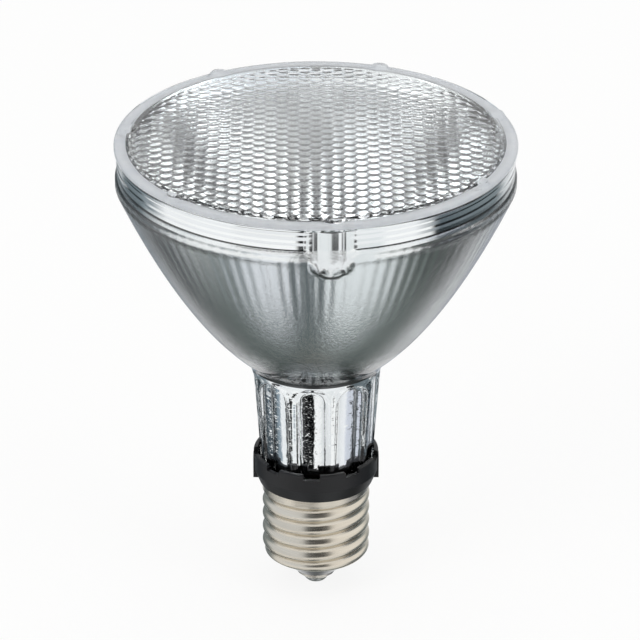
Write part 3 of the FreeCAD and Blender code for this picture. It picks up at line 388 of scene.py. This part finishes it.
pressedLens = {  # radii and heights in mm; the field is the sheet of lenslets on the inside
    "segments": 540, "fieldRadius": 43.6, "field": 116.25, "fieldMargin": 0.35, "fieldTrim": 0.12,
    "fieldCrown": 1.2, "fade": 0.9, "pitch": 3.1, "cuts": 4, "lensletHeight": 0.36,
    "bodyRadius": 44.55, "foot": 0.2, "flangeBottom": 117.18, "flangeRadius": 47.9, "flangeTop": 118.3,
    "flangeEdge": 0.5, "flangeRow": 0.25, "border": 44.5, "borderTop": 118.95, "borderRise": 0.7,
    "borderRows": 7, "crown": 2.2,
    "nubs": 7, "nubAngle": 5.7, "nubRadius": 2.65, "nubCentre": 45.1, "nubTop": 119.4, "nubDome": 0.12,
    "nubEdges": (-0.1, 0.7),
}


def lensField():  # hexagonal lenslets laid out flat, then trimmed to a round sheet
    p = pressedLens
    corner = p["pitch"] / math.sqrt(3)
    column = p["pitch"] * math.sqrt(3) / 2
    columns, rows = math.ceil(p["fieldRadius"] / column / 2), math.ceil(p["fieldRadius"] / p["pitch"])
    bpy.ops.object.select_all(action="DESELECT")
    bpy.ops.mesh.primitive_circle_add(vertices=6, radius=corner * mm, fill_type="TRIFAN")
    sheet = bpy.context.active_object
    start = Vector((-2 * columns * column, -rows * p["pitch"], 0))
    for vertex in sheet.data.vertices:  # a corner on the X axis
        vertex.co = Vector((vertex.co.y, vertex.co.x, 0)) + start * mm
    bpy.ops.object.mode_set(mode="EDIT")
    bpy.ops.mesh.select_all(action="SELECT")
    bpy.ops.mesh.subdivide(number_cuts=p["cuts"])
    bpy.ops.object.mode_set(mode="OBJECT")
    for count, offset in ((2, (column, p["pitch"] / 2, 0)), (2 * columns + 1, (2 * column, 0, 0)),
                          (2 * rows + 1, (0, p["pitch"], 0))):
        array = sheet.modifiers.new("lenslets", "ARRAY")
        array.use_relative_offset, array.use_constant_offset = False, True
        array.constant_offset_displace = Vector(offset) * mm
        array.count = count
        bpy.ops.object.modifier_apply(modifier=array.name)
    bpy.ops.object.mode_set(mode="EDIT")
    bpy.ops.mesh.select_all(action="SELECT")
    bpy.ops.mesh.remove_doubles(threshold=0.01 * mm)
    bpy.ops.mesh.select_all(action="DESELECT")
    bpy.ops.object.mode_set(mode="OBJECT")
    vertices = sheet.data.vertices
    trimFrom = p["fieldRadius"] - p["fieldTrim"]
    away = [math.hypot(vertex.co.x, vertex.co.y) / mm > trimFrom for vertex in vertices]
    for face in sheet.data.polygons:
        face.select = all(away[i] for i in face.vertices)
    bpy.ops.object.mode_set(mode="EDIT")
    bpy.ops.mesh.select_mode(type="FACE")
    bpy.ops.mesh.delete(type="FACE")
    bpy.ops.mesh.select_mode(type="VERT")
    bpy.ops.object.mode_set(mode="OBJECT")
    for vertex in vertices:
        radius = math.hypot(vertex.co.x, vertex.co.y) / mm
        if radius > trimFrom:
            vertex.co *= p["fieldRadius"] / radius
    return sheet


def domeLenslets(sheet):  # each lenslet is part of a ball whose lowest point is at the lenslet's middle
    p = pressedLens
    corner = p["pitch"] / math.sqrt(3)
    column = p["pitch"] * math.sqrt(3) / 2
    ball = (corner ** 2 + p["lensletHeight"] ** 2) / (2 * p["lensletHeight"])
    for vertex in sheet.data.vertices:
        x, y = vertex.co.x / mm, vertex.co.y / mm
        nearest = corner ** 2
        for step in (math.floor(x / column), math.floor(x / column) + 1):
            row = round(y / p["pitch"] - step % 2 / 2) + step % 2 / 2
            nearest = min(nearest, (x - step * column) ** 2 + (y - row * p["pitch"]) ** 2)
        radius = math.hypot(x, y)
        bulge = math.sqrt(ball ** 2 - nearest) - (ball - p["lensletHeight"])
        fade = 1 - smoothStep(p["fieldRadius"] - p["fade"], p["fieldRadius"], radius)
        crown = p["fieldCrown"] * (1 - (radius / p["fieldRadius"]) ** 2)
        vertex.co.z = (p["field"] + crown - bulge * fade) * mm


def lensSection():  # from the edge of the lenslets round the flange to the top of the dome
    p = pressedLens
    foot, edge = p["foot"], p["flangeEdge"]
    section = [(p["fieldRadius"] + p["fieldMargin"], p["field"]), (p["bodyRadius"] - foot, p["field"])]
    section += arcPoints((p["bodyRadius"] - foot, p["field"] + foot), foot, -60, 0, 3)
    section += [(p["bodyRadius"], p["flangeBottom"] - 0.25), (p["bodyRadius"], p["flangeBottom"])]
    section += steps((p["bodyRadius"] + 0.6, p["flangeBottom"]),
                     (p["flangeRadius"] - foot, p["flangeBottom"]), 0.9)
    section += arcPoints((p["flangeRadius"] - foot, p["flangeBottom"] + foot), foot, -90, 0, 4)
    section += arcPoints((p["flangeRadius"] - edge, p["flangeTop"] - edge), edge, 0, 90, 7)
    riseFrom = p["border"] + p["borderRise"]
    section += steps((p["flangeRadius"] - edge - p["flangeRow"], p["flangeTop"]), (riseFrom, p["flangeTop"]),
                     p["flangeRow"])
    for i in range(p["borderRows"]):
        rise = (p["borderTop"] - p["flangeTop"]) * smoothStep(0, p["borderRows"], i)
        section.append((riseFrom - p["borderRise"] * i / p["borderRows"], p["flangeTop"] + rise))
    reach, crown = p["border"], p["crown"]
    dome = (reach ** 2 + crown ** 2) / (2 * crown)
    radii = [reach - 0.1] + [reach - 0.35 * i for i in range(1, 8)] + [reach * share for share in
             (0.91, 0.87, 0.82, 0.76, 0.7, 0.63, 0.56, 0.48, 0.4, 0.32, 0.24, 0.16, 0.08, 0)]
    section += [(radius, p["borderTop"] + crown - dome + math.sqrt(dome ** 2 - radius ** 2))
                for radius in radii]
    return section


def pressNubs(piece):
    p = pressedLens
    for vertex in piece.data.vertices:
        x, y, height = (value / mm for value in vertex.co)
        radius = math.hypot(x, y)
        if radius < p["nubCentre"] - p["nubRadius"] - 1 or height < p["flangeTop"] - 0.35:
            continue
        off = math.radians(fromNearest(math.degrees(math.atan2(x, -y)), p["nubAngle"], p["nubs"]))
        across, along = radius * math.sin(off), radius * math.cos(off) - p["nubCentre"]
        inside = p["nubRadius"] - math.hypot(across, along)
        rise = smoothStep(*p["nubEdges"], inside)
        top = p["nubTop"] - p["nubDome"] * (1 - inside / p["nubRadius"]) ** 2
        vertex.co.z = (height + max(0, top - height) * rise) * mm


lensSheet = lensField()
domeLenslets(lensSheet)
lens = turned("lens", lensSection(), pressedLens["segments"], closed=False)
pressNubs(lens)
lensSheet.select_set(True)
bpy.ops.object.join()
bpy.ops.object.mode_set(mode="EDIT")
bpy.ops.mesh.select_all(action="DESELECT")
bpy.ops.mesh.select_non_manifold(use_wire=False, use_boundary=True, use_multi_face=False,
                                 use_non_contiguous=False, use_verts=False)
bpy.ops.mesh.bridge_edge_loops()
bpy.ops.mesh.select_all(action="SELECT")
bpy.ops.mesh.normals_make_consistent(inside=False)
bpy.ops.object.mode_set(mode="OBJECT")
smoothed(lens, 18)
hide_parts("front_lens")
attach(lens, "root")

# the pressed face has slow waves, so the bright ceiling wanders a little from one lenslet to the next
lensGlass = grained(newMaterial("press-moulded lens glass", "#ffffff", Roughness=0.0, IOR=1.47,
                                Transmission_Weight=1.0), 7.0, ("#ffffff", "#fafdfd"), relief=0.03)
# white frit fired unevenly under the flange: the rim of the lens looks milky, with cooler streaks
sealingFrit = grained(newMaterial("fired sealing frit", "#fbfbfb"), 3.5, ("#e6eaf0", "#ffffff"), (0.4, 0.6))
dress(lens, lensGlass, sealingFrit)
for face in lens.data.polygons:
    radius, height = math.hypot(face.center.x, face.center.y) / mm, face.center.z / mm
    if radius > pressedLens["bodyRadius"] - 0.05 and height < pressedLens["flangeBottom"] + 0.01:
        face.material_index = 1
print("lens pressed:", len(lens.data.polygons), "faces")


screwShell = {  # thread by its crest, depth and pitch; it fades in and out within fadeIn and fadeOut
    "segments": 144, "lip": shellLip, "lipRadius": 10.7, "shoulder": 2.4, "crest": 13.1, "depth": 1.0,
    "pitch": 3.629, "threadStart": 7.8, "threadFrom": 9.6, "threadTo": 26.3, "fadeIn": 1.2, "fadeOut": 0.6,
    "top": shellTop, "sheet": 0.35, "lipEdge": 0.05, "rowHeight": 0.24, "bandRow": 1.2,
}


def shellSection():
    s = screwShell
    corner = math.sqrt(((s["crest"] - s["lipRadius"]) ** 2 + s["shoulder"] ** 2) / 2)
    bandFrom = s["threadTo"] + 0.8
    outer = arcPoints((s["crest"] - corner, s["lip"] + corner), corner, -90, 0, 12)
    outer += steps((s["crest"], outer[-1][1] + s["rowHeight"]), (s["crest"], s["threadTo"] + s["fadeOut"]),
                   s["rowHeight"])
    outer += steps((s["crest"], bandFrom), (s["crest"], s["top"]), s["bandRow"]) + [(s["crest"], s["top"])]
    inner = [(radius - s["sheet"], height) for radius, height in reversed(outer[1:])]
    inner.append((outer[0][0] - s["lipEdge"], s["lip"] + s["sheet"]))
    return outer + inner


def rollThread(piece):
    s = screwShell
    for vertex in piece.data.vertices:
        radius, height = math.hypot(vertex.co.x, vertex.co.y) / mm, vertex.co.z / mm
        turn = math.atan2(vertex.co.y, vertex.co.x) / (2 * math.pi)
        phase = (height - s["threadStart"]) / s["pitch"] - turn
        depth = s["depth"] * smoothStep(s["threadFrom"] - s["fadeIn"], s["threadFrom"] + s["fadeIn"], height)
        depth *= 1 - smoothStep(s["threadTo"] - s["fadeIn"], s["threadTo"] + s["fadeOut"], height)
        moved = radius - depth * (0.5 + 0.5 * math.cos(2 * math.pi * phase))
        vertex.co.x *= moved / radius
        vertex.co.y *= moved / radius


rolledShell = turned("rolledShell", shellSection(), screwShell["segments"])
rollThread(rolledShell)
smoothed(rolledShell, 40)
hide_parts("screw_shell")
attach(rolledShell, "root")
# plated bright, then rolled: the dies leave faint level rings, so highlights run along the thread
# and fade softly
nickelledBrass = grained(newMaterial("rolled nickel-plated brass", "#dbd3c4", Metallic=1.0), 0.6,
                         ("#cfc6b6", "#e7e0d2"), (0.22, 0.32), 0.004, (0.02, 0.02, 1))
dress(rolledShell, nickelledBrass)
print("screw shell rolled:", len(rolledShell.data.polygons), "faces")


# drawn tube closed in a flame: clear, with slow ripples that bend the wires seen through it
quartzGlass = grained(newMaterial("flame-worked fused quartz", "#ffffff", Roughness=0.0, IOR=1.458,
                                  Transmission_Weight=1.0), 4.0, ("#ffffff", "#fbfdff"), relief=0.02)
dress(nodes["quartz_capsule"], quartzGlass)

# moulded in a spark-eroded steel die: even black with a dull, faintly pitted skin that only edges light up
phenolic = grained(newMaterial("compression-moulded black phenolic", "#0e0e10", Specular_IOR_Level=0.4),
                   0.35, ("#08080a", "#151517"), (0.36, 0.52), 0.012)
dress(nodes["insulating_collar"], phenolic)

# molten glass pressed into the cap: near-black violet with a wet shine and shallow flow lines
capGlass = grained(newMaterial("cast black cap glass", "#101016"), 1.4, ("#08080c", "#22222c"),
                   (0.05, 0.14), 0.01)
dress(nodes["base_insulator"], capGlass)

# stamped from plated strip: brighter than the shell, with small dull patches from the press
contactMetal = grained(newMaterial("stamped nickel-plated brass", "#cfcabf", Metallic=1.0), 0.9,
                       ("#b5b0a6", "#e2ddd2"), (0.18, 0.34), 0.004)
dress(nodes["centre_contact"], contactMetal)

# wiped while molten and cooled in the air: grey-white, frosted, slightly lumpy
tinSolder = grained(newMaterial("wiped tin solder", "#bdbdba", Metallic=1.0), 0.7, ("#9d9d9b", "#dcdcd9"),
                    (0.25, 0.5), 0.02)
dress(nodes["contact_solder"], tinSolder)

# fired ceramic with grains too fine to see, drawn coarser here: waxy white with a slight mottle
alumina = grained(newMaterial("sintered alumina", "#f1efe9"), 0.3, ("#e6e2d8", "#fbfaf6"), (0.3, 0.42))
dress(nodes["arc_tube"], alumina)

# mixed with water and baked: chalky and rough, with darker grit
cement = grained(newMaterial("oven-cured ceramic cement", "#efece6"), 0.5, ("#dcd6ca", "#fdfbf7"),
                 (0.85, 0.95), 0.03)
for name in ("cap_cement", "capsule_cement"):
    dress(nodes[name], cement)

# a bead laid wet and squeezed flat: soft white line with a gentle unevenness
sealant = grained(newMaterial("squeezed white silicone", "#e6e8e8"), 1.5, ("#dcdfe0", "#f0f1f1"),
                  (0.4, 0.55), 0.01)
dress(nodes["lens_seal"], sealant)

# pulled through a die: fine lines along the wire that stretch its highlight lengthways
drawnWire = grained(newMaterial("drawn nickel wire", "#b5b2ab", Metallic=1.0), 0.15, ("#a09d96", "#cbc8c0"),
                    (0.22, 0.38), 0.003, (1, 1, 0.03))
for name in ("upper_feedthrough", "lower_feedthrough", "return_lead", "short_lead", "shell_lead",
             "contact_lead"):
    dress(nodes[name], drawnWire)

# rolled to a few hundredths of a millimetre: dull grey with a lengthways rolling grain
molybdenum = grained(newMaterial("rolled molybdenum foil", "#8b8a88", Metallic=1.0), 0.2,
                     ("#7a7977", "#9e9d9a"), (0.32, 0.48), 0.003, (1, 1, 0.05))
for name in ("left_foil", "right_foil"):
    dress(nodes[name], molybdenum)

# metal powder pressed into a strip: dark matt grey with a sandy grain
getterPowder = grained(newMaterial("pressed getter powder", "#4a4a4c"), 0.25, ("#353537", "#626264"),
                       (0.8, 0.9), 0.02)
dress(nodes["getter_strip"], getterPowder)
print("finishes set")


studio = {  # metres and degrees; pixels are those of the photo
    "floorSize": 6.0, "floorColour": "#f3f3f1", "floorGlow": 0.85,
    "roomColour": "#ffffff", "roomStrength": 0.85,
    "cameraDistance": 1.2, "cameraDrop": 26.225, "aimHeight": 0.070956, "focalPixels": 4981.4,
    "axisPixel": 316.0, "photoPixels": 640,
}

bpy.ops.object.select_all(action="DESELECT")
bpy.ops.mesh.primitive_plane_add(size=studio["floorSize"], location=(0, 0, 0))
floor = bpy.context.active_object
floor.name = "studioFloor"
floor.visible_glossy = floor.visible_transmission = False
floorPaper, tree, shader = newMaterial("pale paper floor", studio["floorColour"], Roughness=0.9)
rays = addNode(tree, "ShaderNodeLightPath")
share = addNode(tree, "ShaderNodeMath", times, {1: studio["floorGlow"]}, {0: rays.outputs["Is Camera Ray"]})
white = addNode(tree, "ShaderNodeEmission", values={"Color": linear("#ffffff"), "Strength": 1.0})
mixed = addNode(tree, "ShaderNodeMixShader", links={"Fac": share, 1: shader, 2: white})
tree.links.new(mixed.outputs["Shader"], tree.nodes["Material Output"].inputs["Surface"])
dress(floor, floorPaper)

cards = {  # what stands round the object: azimuth from the front in degrees, tone
    "rim": [
        (-180, "#ffffff"), (-154, "#f4f5f7"), (-147, "#1b2225"), (-127, "#1b2225"), (-122, "#8b969c"),
        (-116, "#f4f5f7"), (-100, "#ffffff"), (-12, "#ffffff"), (-10, "#0e1011"), (-6, "#0e1011"),
        (-5, "#f4f5f7"), (-1.5, "#f4f5f7"), (0, "#0e1011"), (8, "#0e1011"), (10, "#e6e9ea"),
        (38, "#e4e8ea"), (44, "#ffffff"), (72, "#ffffff"), (76, "#0a0c0d"), (134, "#0a0c0d"),
        (143, "#f4f5f7"), (180, "#ffffff"),
    ],
    "neck": [
        (-180, "#c9d1d7"), (-165, "#9aa5ae"), (-140, "#39434a"), (-104, "#39434a"), (-97, "#7f8d98"),
        (-78, "#93a0ab"), (-72, "#f4f6f8"), (-52, "#f4f6f8"), (-48, "#0b0c0d"), (-3, "#0b0c0d"),
        (1, "#ffffff"), (20, "#ffffff"), (34, "#e4e6e8"), (58, "#f3f4f7"), (70, "#d3d7e2"),
        (100, "#d3d7e2"), (108, "#3f4847"), (140, "#6c7680"), (165, "#b9c0cc"), (180, "#c9d1d7"),
    ],
    "upper": [
        (-180, "#f4f5f7"), (-165, "#7c878d"), (-112, "#7c878d"), (-98, "#f2f3f5"), (60, "#f2f3f5"),
        (78, "#59646a"), (130, "#8a9499"), (160, "#f2f3f5"), (180, "#f4f5f7"),
    ],
    "table": [  # sideways part of the direction, tone
        (-0.6, "#6c787d"), (-0.47, "#727e84"), (-0.40, "#dfe3e9"), (-0.20, "#f1f3f8"), (-0.14, "#4b5658"),
        (0.04, "#414c4e"), (0.09, "#eef2f4"), (0.40, "#e6ebed"), (0.50, "#47524f"), (0.6, "#47524f"),
    ],
    "ceiling": [(-1, "#dfe5ee"), (-0.35, "#e9edf3"), (0.1, "#ffffff"), (1, "#ffffff")],
}
farTable = "#59635f"  # the table darkens away from the camera
unlitGap = "#1f2224"  # over the camera

world = bpy.data.worlds.new("studio")
bpy.context.scene.world = world
world.use_nodes = True
tree = world.node_tree
place = addNode(tree, "ShaderNodeTexCoord")
apart = addNode(tree, "ShaderNodeSeparateXYZ", links={"Vector": place.outputs["Generated"]})
across, ahead, up = (apart.outputs[axis] for axis in "XYZ")
aside = addNode(tree, "ShaderNodeMath", {"operation": "ABSOLUTE"}, links={0: across})
flipped = addNode(tree, "ShaderNodeMath", times, {1: -1.0}, {0: ahead})
azimuth = addNode(tree, "ShaderNodeMath", {"operation": "ARCTAN2"}, links={0: across, 1: flipped})
inDegrees = addNode(tree, "ShaderNodeMath", {"operation": "DEGREES"}, links={0: azimuth})

ramps = {}
for name, measure, reach in (("rim", inDegrees, 180), ("neck", inDegrees, 180), ("upper", inDegrees, 180),
                             ("table", across, 0.6), ("ceiling", across, 1)):
    spread = addNode(tree, "ShaderNodeMapRange", values={"From Min": -reach, "From Max": reach},
                     links={"Value": measure})
    ramps[name] = addNode(tree, "ShaderNodeValToRGB", links={"Fac": spread})
    stops = ramps[name].color_ramp.elements
    stops.remove(stops[1])
    stops[0].position, stops[0].color = 0, linear(cards[name][0][1])
    for spot, tone in cards[name][1:]:
        stops.new((spot + reach) / (2 * reach)).color = linear(tone)

zones = {}  # where each card shows: by which part of the direction, from where, and from where in full
for name, measure, start, full in (
        ("neck", up, -0.465, -0.485), ("underNeck", up, -0.575, -0.60), ("upper", up, -0.43, -0.415),
        ("farTable", ahead, -0.11, 0.25), ("table", up, -0.74, -0.86), ("ceiling", up, 0.1, 0.25),
        ("gapAhead", ahead, -0.44, -0.5), ("gapAside", aside, 0.42, 0.34), ("gapUp", up, 0.44, 0.5)):
    zones[name] = addNode(tree, "ShaderNodeMapRange", softStep, {"From Min": start, "From Max": full},
                          {"Value": measure})
gap = zones["gapAhead"]
for name in ("gapAside", "gapUp"):
    gap = addNode(tree, "ShaderNodeMath", times, links={0: gap, 1: zones[name]})

table = addNode(tree, "ShaderNodeMix", colourMix, {7: linear(farTable)},
                {0: zones["farTable"], 6: ramps["table"]})
shown = ramps["rim"].outputs[0]
for name, over in (("neck", ramps["neck"]), ("underNeck", ramps["rim"]), ("upper", ramps["upper"]),
                   ("table", table.outputs[2]), ("ceiling", ramps["ceiling"])):
    shown = addNode(tree, "ShaderNodeMix", colourMix, links={0: zones[name], 6: shown, 7: over}).outputs[2]
shown = addNode(tree, "ShaderNodeMix", colourMix, {7: linear(unlitGap)}, {0: gap, 6: shown}).outputs[2]

plain = tree.nodes["Background"]  # what lights the matt pieces
plain.inputs["Color"].default_value = linear(studio["roomColour"])
plain.inputs["Strength"].default_value = studio["roomStrength"]
mirrored = addNode(tree, "ShaderNodeBackground", links={"Color": shown})
seen = addNode(tree, "ShaderNodeBackground", values={"Color": linear(studio["roomColour"])})
rays = addNode(tree, "ShaderNodeLightPath")
sharp = addNode(tree, "ShaderNodeMath", {"operation": "MAXIMUM"}, links={
    0: rays.outputs["Is Glossy Ray"], 1: rays.outputs["Is Transmission Ray"]})
mixed = addNode(tree, "ShaderNodeMixShader", links={"Fac": sharp, 1: plain, 2: mirrored})
final = addNode(tree, "ShaderNodeMixShader", links={"Fac": rays.outputs["Is Camera Ray"], 1: mixed, 2: seen})
tree.links.new(final.outputs["Shader"], tree.nodes["World Output"].inputs["Surface"])

lamps = [  # name, place, size, watts
    ("keySoftbox", (-0.9, -0.9, 1.1), 0.8, 6.0),
    ("fillSoftbox", (1.0, -0.7, 0.8), 0.7, 3.5),
]
for name, spot, size, watts in lamps:
    light = bpy.data.lights.new(name, "AREA")
    light.shape, light.size, light.energy = "SQUARE", size, watts
    lamp = bpy.data.objects.new(name, light)
    bpy.context.scene.collection.objects.link(lamp)
    lamp.location = spot
    lamp.rotation_euler = (Vector((0, 0, 0.07)) - Vector(spot)).to_track_quat("-Z", "Y").to_euler()
    lamp.visible_glossy = False

drop = math.radians(studio["cameraDrop"])
cameraData = bpy.data.cameras.new("photoCamera")
cameraData.lens = studio["focalPixels"] / studio["photoPixels"] * cameraData.sensor_width
cameraData.shift_x = (studio["photoPixels"] / 2 - studio["axisPixel"]) / studio["photoPixels"]
camera = bpy.data.objects.new("photoCamera", cameraData)
bpy.context.scene.collection.objects.link(camera)
camera.location = (0, -studio["cameraDistance"] * math.cos(drop),
                   studio["aimHeight"] + studio["cameraDistance"] * math.sin(drop))
camera.rotation_euler = (math.radians(90) - drop, 0, 0)
bpy.context.scene.camera = camera
bpy.context.scene.view_settings.view_transform = "Standard"
print("studio lit")
